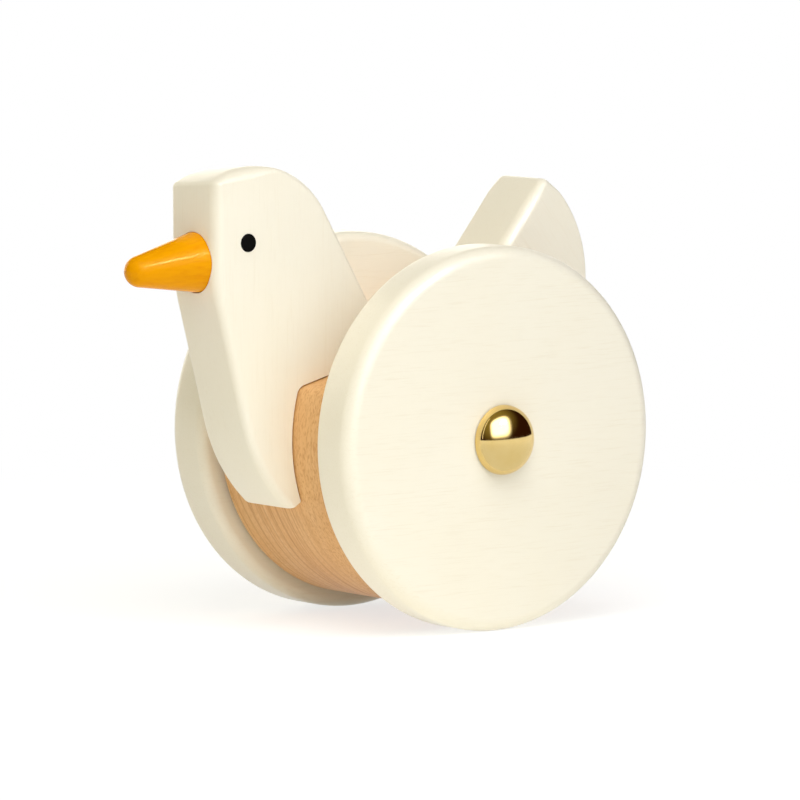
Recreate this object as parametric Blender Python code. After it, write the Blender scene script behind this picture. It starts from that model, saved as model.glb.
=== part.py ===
"""A bird on two wheels: a rolling wooden toy.

A beech drum hangs on a steel axle between two painted wheels. A painted head and a painted
tail sit on the drum's sloping seat and lap over its round front and back. A steel weight low
in the drum keeps the bird upright while the wheels roll.

Metres, +Z up. The bird faces +X, its left wheel is on +Y, and it stands on z = 0.
"""
import math

import bmesh
import bpy

MM = 0.001

# Fits
SEAT_GAP = 0.3 * MM            # between faces that rest on each other
GLUE_CLEARANCE = 0.15 * MM     # around a plug, tenon, dowel or the axle in its glued hole
RUNNING_CLEARANCE = 0.08 * MM  # around the axle in a wheel

# Wheels
WHEEL_RADIUS = 45.0 * MM
WHEEL_THICKNESS = 13.0 * MM
WHEEL_OUTER_ROUND = 3.5 * MM
WHEEL_INNER_ROUND = 2.5 * MM

# Drum: a cylinder round the axle whose top is cut to a flat seat that rises to the back
DRUM_FLOOR_GAP = 4.0 * MM      # so that only the wheels touch the floor
DRUM_WIDTH = 41.2 * MM
DRUM_EDGE_ROUND = 0.8 * MM
SEAT_HEIGHT = 22.0 * MM        # from the axle, square to the seat
SEAT_TILT = math.radians(15)
SEAT_ROUND = 2.5 * MM          # where the seat meets the drum's front and back

# Head and neck: heights are from the axle, angles from straight ahead of it
PLANK_THICKNESS = 18.0 * MM
HEAD_EDGE_ROUND = 2.0 * MM
HEAD_REACH = 21.9 * MM         # from the drum's front to the head's
CROWN_HEIGHT = 41.6 * MM       # of the middle of the crown's arc
CROWN_SETBACK = 11.9 * MM      # of the same point, from the head's front
CROWN_RADIUS = 22.8 * MM
BROW_ROUND = 0.3 * MM          # on the side faces, to which the edge adds its own round
NECK_BACK_SLOPE = math.radians(60)
THROAT_HEIGHT = 36.5 * MM      # where the breast starts to fall back from the head's front
THROAT_ROUND = 40.0 * MM
BREAST_PROUD = 11.1 * MM       # of the drum, at the breast's corner
BREAST_ANGLE = math.radians(-7)
BREAST_ROUND = 40.0 * MM
LIP_PROUD = 3.75 * MM          # of the drum, at the lowest corner
LIP_ANGLE = math.radians(-21.6)
LIP_SLANT = math.radians(1.1)  # from that corner back up to the drum
LIP_ROUND = 0.3 * MM           # on the side faces

# Tail: heights are from the axle
TAIL_TOE = 20.3 * MM           # along the seat from its back end
TAIL_FRONT_SLOPE = math.radians(51.5)
TAIL_OVERHANG = 5.3 * MM       # past the drum's back
TAIL_BACK_HEIGHT = 34.0 * MM   # of the middle of the back's arc
TAIL_BACK_RADIUS = 30.6 * MM
TAIL_TIP_ROUND = 0.6 * MM      # on the side faces
TAIL_EDGE_ROUND = 1.4 * MM

# Beak: a cone with a ball tip, let into the head's front on a tenon, pointing a little down
BEAK_HEIGHT = 42.1 * MM
BEAK_SINK = 0.8 * MM
BEAK_DROOP = math.radians(5)
BEAK_LENGTH = 19.1 * MM
BEAK_BASE_RADIUS = 6.9 * MM
BEAK_TIP_RADIUS = 3.5 * MM
BEAK_BASE_ROUND = 0.4 * MM
TENON_RADIUS = 3.5 * MM
TENON_LENGTH = 10.0 * MM

# Eyes: black plugs
EYE_HEIGHT = 46.7 * MM
EYE_SETBACK = 9.2 * MM         # from the head's front
EYE_RADIUS = 2.1 * MM
EYE_DEPTH = 3.5 * MM
EYE_PROUD = 0.2 * MM
EYE_EDGE_ROUND = 0.15 * MM

# Dowels: the neck's are spread evenly over its foot
DOWEL_RADIUS = 3.0 * MM
DOWEL_LENGTH = 26.0 * MM
DOWEL_CHAMFER = 0.6 * MM
NECK_DOWELS = ("neck_dowel_rear", "neck_dowel_front")
TAIL_DOWEL = 6.2 * MM          # along the seat from its back end

# Axle, washers and the capped push nuts on its ends
AXLE_RADIUS = 3.0 * MM
AXLE_TIP_GAP = 1.1 * MM        # to the inside of the cap
AXLE_CHAMFER = 0.5 * MM
WASHER_RADIUS = 8.0 * MM
WASHER_THICKNESS = 1.0 * MM
CAP_RADIUS = 8.2 * MM
CAP_RIM = 0.6 * MM
CAP_HEIGHT = 5.4 * MM
CAP_WALL = 0.6 * MM
NUT_INSET = 1.0 * MM           # from the cap's mouth
NUT_THICKNESS = 0.7 * MM
NUT_SLOT = 1.6 * MM            # depth of the slots between its teeth
NUT_TEETH = 6

# Weight in the drum, and the wooden plug that closes its bore
WEIGHT_ANGLE = math.radians(-110.8)
WEIGHT_COVER = 4.1 * MM        # wood left between its bore and the drum's round side
WEIGHT_RADIUS = 10.0 * MM
WEIGHT_LENGTH = 28.0 * MM

# Fineness of the round shapes
ARC_ERROR = 0.05 * MM
WHEEL_STEPS = 64
TURN_STEPS = 24
EDGE_STEPS = 3
WELD = 0.001 * MM
STRAIGHT = 1e-6                # sine of a bend too slight to count
SMOOTH_ANGLE = math.radians(35)

# Finishes: linear colour, roughness, metallic
CREAM_PAINT = ((0.91, 0.84, 0.67), 0.35, 0.0)
BEECH = ((0.66, 0.40, 0.17), 0.5, 0.0)
ORANGE_PAINT = ((0.90, 0.38, 0.01), 0.25, 0.0)
BLACK_PAINT = ((0.01, 0.01, 0.01), 0.4, 0.0)
POLISHED_BRASS = ((0.83, 0.62, 0.28), 0.12, 1.0)
BRIGHT_STEEL = ((0.60, 0.60, 0.62), 0.3, 1.0)

# Sizes that follow from these
DRUM_RADIUS = WHEEL_RADIUS - DRUM_FLOOR_GAP
HEAD_FRONT = DRUM_RADIUS + HEAD_REACH
TAIL_BACK = DRUM_RADIUS + TAIL_OVERHANG
SEAT_ROUND_HEIGHT = SEAT_HEIGHT - SEAT_ROUND
SEAT_END = math.sqrt((DRUM_RADIUS - SEAT_ROUND) ** 2 - SEAT_ROUND_HEIGHT ** 2)

# Places across the toy, outwards from its middle
DRUM_SIDE = DRUM_WIDTH / 2
WASHER_SIDE = DRUM_SIDE + SEAT_GAP
WHEEL_SIDE = WASHER_SIDE + WASHER_THICKNESS + SEAT_GAP
WHEEL_FACE = WHEEL_SIDE + WHEEL_THICKNESS
CAP_SIDE = WHEEL_FACE + SEAT_GAP
AXLE_END = CAP_SIDE + CAP_HEIGHT - CAP_WALL - AXLE_TIP_GAP

# Rotations that turn a piece's own +Z to the left or right of the toy, or along the beak
TO_LEFT = (-math.pi / 2, 0, 0)
TO_RIGHT = (math.pi / 2, 0, 0)
ALONG_BEAK = (0, math.pi / 2 + BEAK_DROOP, 0)
SIDES = (("left", 1, TO_LEFT), ("right", -1, TO_RIGHT))


def arc(centre, radius, start, end):
    """Points on a circle from one angle to another, both included."""
    finest = 2 * math.acos(max(0, 1 - ARC_ERROR / radius))
    steps = max(2, math.ceil(abs(end - start) / finest))
    angles = [start + (end - start) * i / steps for i in range(steps + 1)]
    return [(centre[0] + radius * math.cos(a), centre[1] + radius * math.sin(a)) for a in angles]


def rounded(corners):
    """An open chain through (a, b, radius) corners, each radius an arc that its edges have room for."""
    bends = [(0, 0)]
    for before, corner, after in zip(corners, corners[1:], corners[2:]):
        arrive = math.atan2(corner[1] - before[1], corner[0] - before[0])
        leave = math.atan2(after[1] - corner[1], after[0] - corner[0])
        bends.append((arrive, (leave - arrive + math.pi) % (2 * math.pi) - math.pi))
    bends.append((0, 0))
    reaches = [corner[2] * math.tan(abs(bend[1]) / 2) for corner, bend in zip(corners, bends)]
    lengths = [math.dist(p[:2], q[:2]) for p, q in zip(corners, corners[1:])]
    chain = [corners[0][:2]]
    for i in range(1, len(corners) - 1):
        a, b, radius = corners[i]
        arrive, turn = bends[i]
        if reaches[i] == 0:
            chain.append((a, b))
            continue
        room = [max(lengths[i - 1] / 2, lengths[i - 1] - reaches[i - 1]),
                max(lengths[i] / 2, lengths[i] - reaches[i + 1])]
        reach = min(reaches[i], *room)
        radius *= reach / reaches[i]
        side = math.copysign(math.pi / 2, turn)
        start = (a - reach * math.cos(arrive), b - reach * math.sin(arrive))
        centre = (start[0] + radius * math.cos(arrive + side), start[1] + radius * math.sin(arrive + side))
        chain += arc(centre, radius, arrive - side, arrive - side + turn)
    chain.append(corners[-1][:2])
    return [q for p, q in zip([(math.inf, 0)] + chain, chain) if math.dist(p, q) > WELD]


def round_axle(radius, angle):
    """(forwards, up) of a point given by its distance from the axle and its angle."""
    return (radius * math.cos(angle), radius * math.sin(angle))


def seat_point(along, above):
    """(forwards, up) of a point given along the seat and square to it, both from the axle."""
    cos, sin = math.cos(SEAT_TILT), math.sin(SEAT_TILT)
    return (along * cos + above * sin, above * cos - along * sin)


def on_seat(point):
    """How far a (forwards, up) point lies from the axle along the seat, and square to it."""
    cos, sin = math.cos(SEAT_TILT), math.sin(SEAT_TILT)
    return (point[0] * cos - point[1] * sin, point[0] * sin + point[1] * cos)


def drum_chains(grow, front_end, back_end):
    """The drum's outline grown by a gap: front from the seat down to an angle, and back likewise."""
    shoulder = math.atan2(SEAT_ROUND_HEIGHT, SEAT_END)
    belly = DRUM_RADIUS + grow
    front = arc((SEAT_END, SEAT_ROUND_HEIGHT), SEAT_ROUND + grow, math.pi / 2, shoulder)
    front += arc((0, 0), belly, shoulder, front_end + SEAT_TILT)[1:]
    back = arc((-SEAT_END, SEAT_ROUND_HEIGHT), SEAT_ROUND + grow, math.pi / 2, math.pi - shoulder)
    back += arc((0, 0), belly, math.pi - shoulder, back_end + SEAT_TILT)[1:]
    return [seat_point(*p) for p in front], [seat_point(*p) for p in back]


def line_to_circle(start, slope, centre, radius):
    """Where a line at an angle from a point inside leaves a circle."""
    da, db = start[0] - centre[0], start[1] - centre[1]
    half = da * math.cos(slope) + db * math.sin(slope)
    run = -half + math.sqrt(half ** 2 - da ** 2 - db ** 2 + radius ** 2)
    return (start[0] + run * math.cos(slope), start[1] + run * math.sin(slope))


def circles_cross(radius, other_centre, other_radius):
    """The lower point where a circle round the axle crosses another circle behind it."""
    apart = math.hypot(*other_centre)
    along = (radius ** 2 - other_radius ** 2 + apart ** 2) / (2 * apart)
    bearing = math.atan2(other_centre[1], other_centre[0])
    spread = math.acos(along / radius)
    return (radius * math.cos(bearing + spread), radius * math.sin(bearing + spread))


def crown_arc():
    """The head's top, from the brow back to the nape, where the neck's straight back starts."""
    middle = (HEAD_FRONT - CROWN_SETBACK, CROWN_HEIGHT)
    brow = math.acos(CROWN_SETBACK / CROWN_RADIUS)
    return arc(middle, CROWN_RADIUS, brow, NECK_BACK_SLOPE + math.pi / 2)


def neck_heel():
    """Where the neck's back meets the seat, along it."""
    along, above = on_seat(crown_arc()[-1])
    return along - (above - SEAT_HEIGHT - SEAT_GAP) / math.tan(NECK_BACK_SLOPE + SEAT_TILT)


def neck_outline():
    """The head and neck's free edge from the lip up and over to the heel, and its notch."""
    notch, _ = drum_chains(SEAT_GAP, LIP_ANGLE + LIP_SLANT, math.pi)
    lip = round_axle(DRUM_RADIUS + LIP_PROUD, LIP_ANGLE)
    breast = round_axle(DRUM_RADIUS + BREAST_PROUD, BREAST_ANGLE)
    crown = crown_arc()
    heel = seat_point(neck_heel(), SEAT_HEIGHT + SEAT_GAP)
    corners = [(*notch[-1], 0), (*lip, LIP_ROUND + HEAD_EDGE_ROUND), (*breast, BREAST_ROUND)]
    corners += [(HEAD_FRONT, THROAT_HEIGHT, THROAT_ROUND), (*crown[0], BROW_ROUND + HEAD_EDGE_ROUND)]
    corners += [(*point, 0) for point in crown[1:]]
    corners.append((*heel, 0))
    return rounded(corners), notch[:-1]


def tail_outline():
    """The tail's free edge from the lip up and over to the toe, and its notch."""
    middle = (TAIL_BACK_RADIUS - TAIL_BACK, TAIL_BACK_HEIGHT)
    lip = circles_cross(DRUM_RADIUS + SEAT_GAP, middle, TAIL_BACK_RADIUS)
    toe = seat_point(TAIL_TOE - SEAT_END, SEAT_HEIGHT + SEAT_GAP)
    tip = line_to_circle(toe, math.pi - TAIL_FRONT_SLOPE, middle, TAIL_BACK_RADIUS)
    from_middle = [math.atan2(p[1] - middle[1], p[0] - middle[0]) for p in (lip, tip)]
    back = arc(middle, TAIL_BACK_RADIUS, from_middle[0] % (2 * math.pi), from_middle[1])
    _, notch = drum_chains(SEAT_GAP, 0, math.atan2(lip[1], lip[0]) % (2 * math.pi))
    corners = [(*point, 0) for point in back[:-1]]
    corners += [(*tip, TAIL_TIP_ROUND + TAIL_EDGE_ROUND), (*toe, 0)]
    return rounded(corners), notch[:-1]


def drum_outline():
    """The drum's whole outline."""
    lowest = -math.pi / 2
    front, back = drum_chains(0, lowest, lowest + 2 * math.pi)
    return front + back[-2::-1], []


def edge_inset(points, free):
    """For each point, the step inwards that leaves its two edges 1 and 0 deep: free or not."""
    count = len(points)
    area = sum(p[0] * q[1] - q[0] * p[1] for p, q in zip(points, points[1:] + points[:1]))
    inward = math.copysign(1, area)
    normals = []
    for p, q in zip(points, points[1:] + points[:1]):
        length = math.dist(p, q)
        normals.append((-inward * (q[1] - p[1]) / length, inward * (q[0] - p[0]) / length))
    steps = []
    for i in range(count):
        (a, b), (c, d) = normals[i - 1], normals[i]
        depth_before, depth_after = float(free[i - 1]), float(free[i])
        cross = a * d - b * c
        if abs(cross) < STRAIGHT:
            steps.append((a * depth_before, b * depth_before))
        else:
            steps.append(((depth_before * d - depth_after * b) / cross,
                          (depth_after * a - depth_before * c) / cross))
    return steps


def shade(mesh):
    """Smooth the round faces and keep the real edges."""
    mesh.shade_smooth()
    mesh.set_sharp_from_angle(angle=SMOOTH_ANGLE)


def add_object(name, bm, parent, finish, location=(0, 0, 0), rotation=(0, 0, 0)):
    """Make an object of a finished mesh, under its parent and in its own material."""
    bmesh.ops.recalc_face_normals(bm, faces=bm.faces)
    mesh = bpy.data.meshes.new(name)
    bm.to_mesh(mesh)
    bm.free()
    shade(mesh)
    item = bpy.data.objects.new(name, mesh)
    bpy.context.collection.objects.link(item)
    item.parent = parent
    item.location = location
    item.rotation_euler = rotation
    if finish:
        mesh.materials.append(make_material(name, *finish))
    return item


def make_material(name, colour, roughness, metallic):
    """One plain surface."""
    material = bpy.data.materials.new(name)
    material.use_nodes = True
    surface = material.node_tree.nodes["Principled BSDF"]
    surface.inputs["Base Color"].default_value = (*colour, 1)
    surface.inputs["Roughness"].default_value = roughness
    surface.inputs["Metallic"].default_value = metallic
    return material


def add_empty(name, location, parent=None):
    """A named point that pieces hang from."""
    point = bpy.data.objects.new(name, None)
    bpy.context.collection.objects.link(point)
    point.parent = parent
    point.location = location
    return point


def slab(name, outline, thickness, edge_round, parent, finish):
    """An upright board across the toy, whose free edges are rounded on both sides."""
    free_chain, notch = outline
    points = free_chain + notch
    free = [i < len(free_chain) - 1 or not notch for i in range(len(points))]
    steps = edge_inset(points, free)
    half = thickness / 2
    levels = []
    for i in range(EDGE_STEPS + 1):
        angle = math.pi / 2 * i / EDGE_STEPS
        levels.append((half - edge_round * (1 - math.sin(angle)), edge_round * (1 - math.cos(angle))))
    bm = bmesh.new()
    rings = []
    for across, inset in [(-y, d) for y, d in reversed(levels)] + levels:
        moved = [(p[0] + inset * s[0], across, p[1] + inset * s[1]) for p, s in zip(points, steps)]
        rings.append([bm.verts.new(place) for place in moved])
    for lower, upper in zip(rings, rings[1:]):
        for i in range(len(points)):
            bm.faces.new((lower[i - 1], lower[i], upper[i], upper[i - 1]))
    bm.faces.new(rings[0])
    bm.faces.new(rings[-1])
    return add_object(name, bm, parent, finish)


def turned(name, profile, parent, finish, location, rotation, steps=TURN_STEPS, flats=False):
    """Spin (radius, height) points round the piece's own Z. With flats, a flat side faces down."""
    start = math.pi / steps if flats else 0
    grow = 1 / math.cos(start)
    bm = bmesh.new()
    ring = [bm.verts.new((r * grow * math.cos(start), r * grow * math.sin(start), h)) for r, h in profile]
    edges = [bm.edges.new(pair) for pair in zip(ring, ring[1:])]
    if profile[0][0] > 0:
        edges.append(bm.edges.new((ring[-1], ring[0])))
    bmesh.ops.spin(bm, geom=ring + edges, cent=(0, 0, 0), axis=(0, 0, 1), angle=2 * math.pi,
                   steps=steps, use_merge=True)
    bmesh.ops.remove_doubles(bm, verts=bm.verts, dist=WELD)
    return add_object(name, bm, parent, finish, location, rotation)


def bar(radius, length, chamfer=0):
    """The profile of a round bar centred on its place, with chamfered ends."""
    end = length / 2
    half = [(0, end), (radius - chamfer, end), (radius, end - chamfer)]
    return [(r, -h) for r, h in half] + half[::-1]


def rod(name, radius, length, chamfer, parent, finish, location, rotation):
    """A round bar."""
    return turned(name, bar(radius, length, chamfer), parent, finish, location, rotation)


def cutter(name, profile, parent, location, rotation):
    """A turned shape that only drills."""
    item = turned(name, profile, parent, None, location, rotation)
    item.hide_render = True
    item.display_type = "WIRE"
    return item


def drill(target, tool):
    """Take a cutter's shape out of a piece."""
    cut = target.modifiers.new(tool.name, "BOOLEAN")
    cut.operation = "DIFFERENCE"
    cut.solver = "EXACT"
    cut.object = tool


def add_drum(body):
    """The drum, bored right through for the axle."""
    drum = slab("body_drum", drum_outline(), DRUM_WIDTH, DRUM_EDGE_ROUND, body, BEECH)
    bore = bar(AXLE_RADIUS + GLUE_CLEARANCE, 2 * DRUM_WIDTH)
    drill(drum, cutter("axle_bore", bore, body, (0, 0, 0), TO_LEFT))
    return drum


def add_beak(body, head):
    """The beak, with its shoulder in a shallow seat in the head's front and its tenon in a blind hole."""
    ball = BEAK_LENGTH - BEAK_TIP_RADIUS
    base_angle = math.atan2(-ball, BEAK_BASE_RADIUS)
    meet = base_angle + math.acos(BEAK_TIP_RADIUS / math.hypot(BEAK_BASE_RADIUS, ball))
    tip = arc((0, ball), BEAK_TIP_RADIUS, meet, math.pi / 2)
    profile = [(0, -TENON_LENGTH), (TENON_RADIUS, -TENON_LENGTH)]
    profile += rounded([(TENON_RADIUS, 0, 0), (BEAK_BASE_RADIUS, 0, BEAK_BASE_ROUND), (*tip[0], 0)])
    profile += tip[1:]
    shoulder = (HEAD_FRONT - BEAK_SINK, 0, BEAK_HEIGHT)
    turned("beak", profile, body, ORANGE_PAINT, shoulder, ALONG_BEAK)
    bore = TENON_RADIUS + GLUE_CLEARANCE
    bore_end = -TENON_LENGTH - SEAT_GAP
    seat = BEAK_BASE_RADIUS + GLUE_CLEARANCE
    hole = [(0, bore_end), (bore, bore_end), (bore, -SEAT_GAP)]
    hole += [(seat, -SEAT_GAP), (seat, BEAK_LENGTH), (0, BEAK_LENGTH)]
    drill(head, cutter("beak_hole", hole, body, shoulder, ALONG_BEAK))


def add_eyes(body, head):
    """A plug in a blind hole on each side of the head."""
    face = PLANK_THICKNESS / 2
    hole = bar(EYE_RADIUS + GLUE_CLEARANCE, 2 * (EYE_DEPTH + SEAT_GAP))
    profile = [(0, -EYE_DEPTH)] + rounded([(EYE_RADIUS, -EYE_DEPTH, 0),
                                           (EYE_RADIUS, EYE_PROUD, EYE_EDGE_ROUND), (0, EYE_PROUD, 0)])
    for side, sign, facing in SIDES:
        place = (HEAD_FRONT - EYE_SETBACK, sign * face, EYE_HEIGHT)
        turned(side + "_eye", profile, body, BLACK_PAINT, place, facing)
        drill(head, cutter(side + "_eye_hole", hole, body, place, facing))


def add_dowel(name, along, lean, body, drum, plank):
    """A dowel half in the drum and half in a plank, crossing the seat at a place along it."""
    forwards, up = seat_point(along, SEAT_HEIGHT + SEAT_GAP / 2)
    place = (forwards, 0, up)
    rod(name, DOWEL_RADIUS, DOWEL_LENGTH, DOWEL_CHAMFER, body, BEECH, place, (0, lean, 0))
    hole = bar(DOWEL_RADIUS + GLUE_CLEARANCE, DOWEL_LENGTH + 2 * SEAT_GAP)
    tool = cutter(name + "_hole", hole, body, place, (0, lean, 0))
    drill(drum, tool)
    drill(plank, tool)


def add_weight(body, drum):
    """The steel weight in the middle of the drum's width, and the plug that closes its bore."""
    inner_end = WEIGHT_LENGTH / 2 + SEAT_GAP
    bore_radius = WEIGHT_RADIUS + GLUE_CLEARANCE
    forwards, up = round_axle(DRUM_RADIUS - WEIGHT_COVER - bore_radius, WEIGHT_ANGLE)
    rod("weight", WEIGHT_RADIUS, WEIGHT_LENGTH, AXLE_CHAMFER, body, BRIGHT_STEEL, (forwards, 0, up), TO_LEFT)
    plug_length = DRUM_SIDE - inner_end
    plug_middle = -inner_end - plug_length / 2
    rod("weight_plug", WEIGHT_RADIUS, plug_length, DOWEL_CHAMFER, body, BEECH,
        (forwards, plug_middle, up), TO_LEFT)
    bore = [(0, -DRUM_WIDTH), (bore_radius, -DRUM_WIDTH), (bore_radius, inner_end), (0, inner_end)]
    drill(drum, cutter("weight_bore", bore, body, (forwards, 0, up), TO_LEFT))


def add_axle(body):
    """The axle, right through the drum and both wheels."""
    rod("axle", AXLE_RADIUS, 2 * AXLE_END, AXLE_CHAMFER, body, BRIGHT_STEEL, (0, 0, 0), TO_LEFT)


def add_washer(side, sign, facing, body):
    """The washer between the drum and a wheel."""
    bore = AXLE_RADIUS + GLUE_CLEARANCE
    profile = [(bore, 0), (WASHER_RADIUS, 0), (WASHER_RADIUS, WASHER_THICKNESS), (bore, WASHER_THICKNESS)]
    turned(side + "_washer", profile, body, BRIGHT_STEEL, (0, sign * WASHER_SIDE, 0), facing)


def add_cap(side, sign, facing, body):
    """A domed cap on an axle end, and the toothed push nut in it that grips the axle."""
    rise = CAP_HEIGHT - CAP_RIM
    dome = (CAP_RADIUS ** 2 + rise ** 2) / (2 * rise)
    centre = CAP_HEIGHT - dome
    hollow = dome - CAP_WALL
    mouth = math.asin(-centre / hollow)
    profile = [(0, CAP_HEIGHT)] + arc((0, centre), dome, math.pi / 2, math.acos(CAP_RADIUS / dome))[1:]
    profile += [(CAP_RADIUS, 0)] + arc((0, centre), hollow, mouth, math.pi / 2)[:-1]
    profile.append((0, CAP_HEIGHT - CAP_WALL))
    place = (0, sign * CAP_SIDE, 0)
    turned(side + "_axle_cap", profile, body, POLISHED_BRASS, place, facing)

    nut_top = NUT_INSET + NUT_THICKNESS
    nut_radius = math.sqrt(hollow ** 2 - (nut_top - centre) ** 2) - SEAT_GAP
    grip = AXLE_RADIUS + GLUE_CLEARANCE
    nut_profile = [(grip, NUT_INSET), (nut_radius, NUT_INSET), (nut_radius, nut_top), (grip, nut_top)]
    nut = turned(side + "_push_nut", nut_profile, body, BRIGHT_STEEL, place, facing)
    cut_slots(nut, grip)


def cut_slots(nut, grip):
    """Open the slots between a push nut's teeth by moving points of its inner edge outwards."""
    spacing = 2 * math.pi / NUT_TEETH
    for vertex in nut.data.vertices:
        radius = math.hypot(vertex.co.x, vertex.co.y)
        turn = math.atan2(vertex.co.y, vertex.co.x) / spacing
        if radius < grip + WELD and abs(turn - round(turn)) * spacing < math.pi / TURN_STEPS:
            widen = (grip + NUT_SLOT) / radius
            vertex.co.x *= widen
            vertex.co.y *= widen


def add_wheel(side, sign, facing, centre):
    """A disc wheel on its own hub point, with rounded rims and a plain bore."""
    half = WHEEL_THICKNESS / 2
    bore = AXLE_RADIUS + RUNNING_CLEARANCE
    profile = rounded([(bore, -half, 0), (WHEEL_RADIUS, -half, WHEEL_INNER_ROUND),
                       (WHEEL_RADIUS, half, WHEEL_OUTER_ROUND), (bore, half, 0)])
    hub = add_empty(side + "_wheel_hub", (0, sign * (WHEEL_SIDE + half), 0), centre)
    turned(side + "_wheel", profile, hub, CREAM_PAINT, (0, 0, 0), facing, WHEEL_STEPS, flats=True)


def axle_place():
    """The axle's middle: one wheel radius up, and set back so that the toy's box is centred."""
    ball = (BEAK_LENGTH - BEAK_TIP_RADIUS) * math.cos(BEAK_DROOP)
    front = HEAD_FRONT - BEAK_SINK + ball + BEAK_TIP_RADIUS
    return ((max(WHEEL_RADIUS, TAIL_BACK) - front) / 2, 0, WHEEL_RADIUS)


def build():
    """Clear the scene and put the toy together."""
    for item in list(bpy.data.objects):
        bpy.data.objects.remove(item)
    body = add_empty("axle_middle", axle_place())
    drum = add_drum(body)
    head = slab("head_neck", neck_outline(), PLANK_THICKNESS, HEAD_EDGE_ROUND, body, CREAM_PAINT)
    tail = slab("tail", tail_outline(), PLANK_THICKNESS, TAIL_EDGE_ROUND, body, CREAM_PAINT)
    heel = neck_heel()
    dowel_pitch = (SEAT_END - heel) / (len(NECK_DOWELS) + 1)
    for number, name in enumerate(NECK_DOWELS, 1):
        add_dowel(name, heel + number * dowel_pitch, SEAT_TILT, body, drum, head)
    add_dowel("tail_dowel", TAIL_DOWEL - SEAT_END, TAIL_FRONT_SLOPE - math.pi / 2, body, drum, tail)
    add_beak(body, head)
    add_eyes(body, head)
    add_weight(body, drum)
    add_axle(body)
    for side, sign, facing in SIDES:
        add_washer(side, sign, facing, body)
        add_wheel(side, sign, facing, body)
        add_cap(side, sign, facing, body)


build()
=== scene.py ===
"""The looks of a bird on two wheels, a rolling wooden toy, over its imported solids."""

import math

import bmesh
import bpy
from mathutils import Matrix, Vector


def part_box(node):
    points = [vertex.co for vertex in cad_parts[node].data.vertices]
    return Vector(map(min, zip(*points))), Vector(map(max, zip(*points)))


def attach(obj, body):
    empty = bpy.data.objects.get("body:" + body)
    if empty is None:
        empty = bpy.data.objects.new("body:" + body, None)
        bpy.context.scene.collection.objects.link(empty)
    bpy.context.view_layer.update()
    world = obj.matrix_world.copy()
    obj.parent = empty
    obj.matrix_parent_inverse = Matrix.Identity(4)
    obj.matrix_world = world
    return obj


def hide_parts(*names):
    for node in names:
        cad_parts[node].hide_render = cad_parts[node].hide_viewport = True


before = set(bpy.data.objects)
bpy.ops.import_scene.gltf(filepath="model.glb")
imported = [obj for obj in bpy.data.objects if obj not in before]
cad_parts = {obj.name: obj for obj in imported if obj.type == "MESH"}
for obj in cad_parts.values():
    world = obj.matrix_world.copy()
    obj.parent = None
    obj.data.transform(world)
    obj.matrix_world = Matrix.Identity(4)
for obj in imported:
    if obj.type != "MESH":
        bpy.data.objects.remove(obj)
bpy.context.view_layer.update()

MM = 0.001

# Fits
SEAT_GAP = 0.3 * MM
GLUE_CLEARANCE = 0.15 * MM
SNUG_CLEARANCE = 0.05 * MM
RUNNING_CLEARANCE = 0.08 * MM

# Places and sizes that the solids give
AXLE = sum(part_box("axle"), Vector()) / 2
AXLE_RADIUS = (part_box("axle")[1].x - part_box("axle")[0].x) / 2
DRUM_RADIUS = AXLE.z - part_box("body_drum")[0].z
DRUM_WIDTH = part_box("body_drum")[1].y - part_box("body_drum")[0].y
HEAD_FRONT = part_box("head_neck")[1].x - AXLE.x
PLANK_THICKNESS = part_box("head_neck")[1].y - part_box("head_neck")[0].y
TAIL_BACK = AXLE.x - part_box("tail")[0].x
TAIL_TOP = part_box("tail")[1].z - AXLE.z
WHEEL_RADIUS = AXLE.z
WHEEL_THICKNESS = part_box("left_wheel")[1].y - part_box("left_wheel")[0].y
CAP_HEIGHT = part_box("left_axle_cap")[1].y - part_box("left_axle_cap")[0].y

# Wheels
WHEEL_OUTER_ROUND = 3.5 * MM
WHEEL_INNER_ROUND = 2.5 * MM
BORE_CHAMFER = 0.5 * MM

# Drum
DRUM_EDGE_ROUND = 0.8 * MM
SEAT_HEIGHT = 22.0 * MM
SEAT_TILT = math.radians(15)
SEAT_ROUND = 2.5 * MM
SEAT_ROUND_HEIGHT = SEAT_HEIGHT - SEAT_ROUND
SEAT_END = math.sqrt((DRUM_RADIUS - SEAT_ROUND) ** 2 - SEAT_ROUND_HEIGHT ** 2)

# Head and neck, with heights above the axle
CROWN_HEIGHT = 41.6 * MM
CROWN_SETBACK = 11.9 * MM
CROWN_RADIUS = 22.8 * MM
CROWN_SLANT = 1.4 * MM  # how much lower the crown is on its right
BROW_HEIGHT = CROWN_HEIGHT + math.sqrt(CROWN_RADIUS ** 2 - CROWN_SETBACK ** 2)
BROW_ROUND = 1.5 * MM
NECK_BACK_SLOPE = math.radians(60)
THROAT_HEIGHT = 36.5 * MM
THROAT_ROUND = 40.0 * MM
BREAST_PROUD = 11.1 * MM
BREAST_ANGLE = math.radians(-7)
BREAST_ROUND = 40.0 * MM
LIP_PROUD = 3.75 * MM
LIP_ANGLE = math.radians(-21.6)
LIP_SLANT = math.radians(1.1)
LIP_ROUND = 2.5 * MM

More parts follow.
